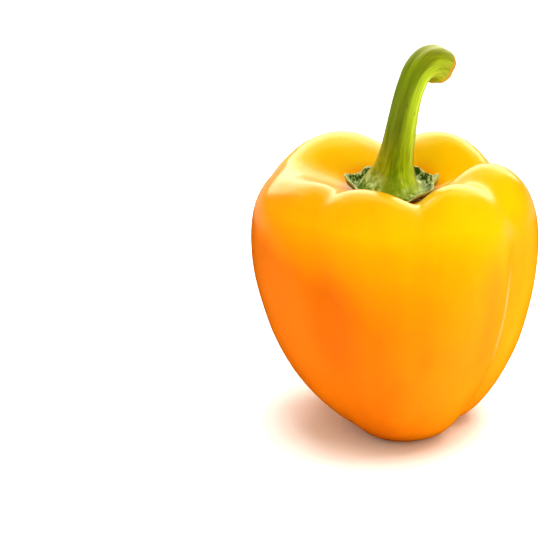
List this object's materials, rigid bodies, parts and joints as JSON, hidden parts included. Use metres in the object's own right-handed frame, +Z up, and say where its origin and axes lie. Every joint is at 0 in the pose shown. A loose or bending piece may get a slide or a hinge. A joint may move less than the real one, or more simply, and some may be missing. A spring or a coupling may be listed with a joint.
{
  "type": "bell pepper",
  "caption": "Whole yellow bell pepper with deep shoulder folds, a lobed calyx in the stem cavity and a curved stem, standing on the lobes of its blossom end.",
  "frame": {"origin": "on the surface that the pepper stands on, under the middle of its bounding box", "axes": "+Z up, from the blossom end to the stem; the side that the picture shows faces -Y; the stem's tip bends towards +X and +Y"},
  "size_m": [0.0846, 0.0838, 0.1163],
  "materials": {
    "pepper_skin": "smooth glossy yellow skin, orange in the shade",
    "calyx_green": "matt dark green leaf tissue",
    "stem_green": "satin yellow-green stalk with soft ribs"
  },
  "bodies": {
    "root": {"fruit": "pepper_skin", "calyx": "calyx_green", "stem": "stem_green"}
  },
  "joints": []
}
